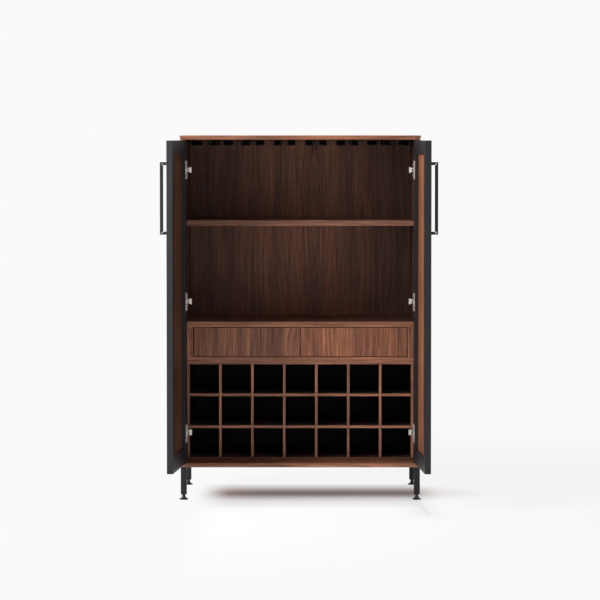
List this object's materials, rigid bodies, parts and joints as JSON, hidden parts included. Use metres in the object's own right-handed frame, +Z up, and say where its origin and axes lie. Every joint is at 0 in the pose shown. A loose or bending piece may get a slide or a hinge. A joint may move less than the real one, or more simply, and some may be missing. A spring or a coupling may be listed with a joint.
{
  "type": "bar armoire",
  "caption": "Walnut bar cabinet on steel legs with framed doors, hanging-glass channels, shelf, drawers and bottle rack",
  "frame": {"origin": "on the floor, midway between the two sides and midway between the open doors' front ends and the back", "axes": "+X to the right seen from the front, +Y to the back, +Z up"},
  "size_m": [0.9048, 0.891, 1.228],
  "materials": {
    "walnut_case": "satin oiled walnut veneer, grain upright on the sides",
    "walnut_fittings": "satin oiled walnut veneer",
    "walnut_rack": "satin oiled walnut veneer",
    "walnut_door": "satin oiled walnut veneer, grain upright",
    "drawer_lining": "matt dark walnut foil",
    "black_paint": "black satin lacquer on wood",
    "black_steel": "black powder coat",
    "black_plastic": "matt black plastic",
    "nickel": "satin nickel plate"
  },
  "bodies": {
    "cabinet": {"bottom_panel": "walnut_case", "top_panel": "walnut_case", "left_side_panel": "walnut_case", "right_side_panel": "walnut_case", "back_panel": "walnut_case", "upper_shelf": "walnut_fittings", "drawer_case_top": "walnut_fittings", "drawer_case_floor": "walnut_fittings", "drawer_case_left_side": "walnut_fittings", "drawer_case_right_side": "walnut_fittings", "drawer_case_partition": "walnut_fittings", "rack_floor": "walnut_rack", "rack_top": "walnut_rack", "rack_left_side": "walnut_rack", "rack_right_side": "walnut_rack", "rack_divider_1": "walnut_rack", "rack_divider_2": "walnut_rack", "rack_divider_3": "walnut_rack", "rack_divider_4": "walnut_rack", "rack_divider_5": "walnut_rack", "rack_divider_6": "walnut_rack", "rack_shelf_lower": "walnut_rack", "rack_shelf_upper": "walnut_rack", "glass_channel_1": "black_steel", "glass_channel_2": "black_steel", "glass_channel_3": "black_steel", "glass_channel_4": "black_steel", "glass_channel_5": "black_steel", "glass_channel_6": "black_steel", "glass_channel_7": "black_steel", "front_left_leg": "black_steel", "front_right_leg": "black_steel", "rear_left_leg": "black_steel", "rear_right_leg": "black_steel", "left_hinge_top_arm": "nickel", "left_hinge_middle_arm": "nickel", "left_hinge_bottom_arm": "nickel", "right_hinge_top_arm": "nickel", "right_hinge_middle_arm": "nickel", "right_hinge_bottom_arm": "nickel"},
    "left_door": {"left_door_frame": "black_paint", "left_door_panel": "walnut_door", "left_door_handle": "black_steel", "left_hinge_top_cup": "nickel", "left_hinge_middle_cup": "nickel", "left_hinge_bottom_cup": "nickel"},
    "right_door": {"right_door_frame": "black_paint", "right_door_panel": "walnut_door", "right_door_handle": "black_steel", "right_hinge_top_cup": "nickel", "right_hinge_middle_cup": "nickel", "right_hinge_bottom_cup": "nickel"},
    "left_drawer": {"left_drawer_front": "walnut_fittings", "left_drawer_box": "drawer_lining"},
    "right_drawer": {"right_drawer_front": "walnut_fittings", "right_drawer_box": "drawer_lining"},
    "front_left_levelling_foot": {"front_left_foot": "black_plastic"},
    "front_right_levelling_foot": {"front_right_foot": "black_plastic"},
    "rear_left_levelling_foot": {"rear_left_foot": "black_plastic"},
    "rear_right_levelling_foot": {"rear_right_foot": "black_plastic"}
  },
  "joints": [
    {"name": "left_door_hinge", "type": "hinge", "parent": "cabinet", "child": "left_door", "pos_m": [-0.3945, -0.05199, 0.669], "axis": [0, 0, -1], "range_deg": [-94.7, 10.3]},
    {"name": "right_door_hinge", "type": "hinge", "parent": "cabinet", "child": "right_door", "pos_m": [0.3945, -0.05199, 0.669], "axis": [0, 0, 1], "range_deg": [-93.4, 11.6]},
    {"name": "left_drawer_slide", "type": "slide", "parent": "cabinet", "child": "left_drawer", "axis": [0, -1, 0], "range_m": [0, 0.29]},
    {"name": "right_drawer_slide", "type": "slide", "parent": "cabinet", "child": "right_drawer", "axis": [0, -1, 0], "range_m": [0, 0.29]},
    {"name": "front_left_foot_turn", "type": "hinge", "parent": "cabinet", "child": "front_left_levelling_foot", "pos_m": [-0.3935, -0.04599, 0.018], "axis": [0, 0, 1], "continuous": true},
    {"name": "front_right_foot_turn", "type": "hinge", "parent": "cabinet", "child": "front_right_levelling_foot", "pos_m": [0.3935, -0.04599, 0.018], "axis": [0, 0, 1], "continuous": true},
    {"name": "rear_left_foot_turn", "type": "hinge", "parent": "cabinet", "child": "rear_left_levelling_foot", "pos_m": [-0.3935, 0.43101, 0.018], "axis": [0, 0, 1], "continuous": true},
    {"name": "rear_right_foot_turn", "type": "hinge", "parent": "cabinet", "child": "rear_right_levelling_foot", "pos_m": [0.3935, 0.43101, 0.018], "axis": [0, 0, 1], "continuous": true}
  ]
}
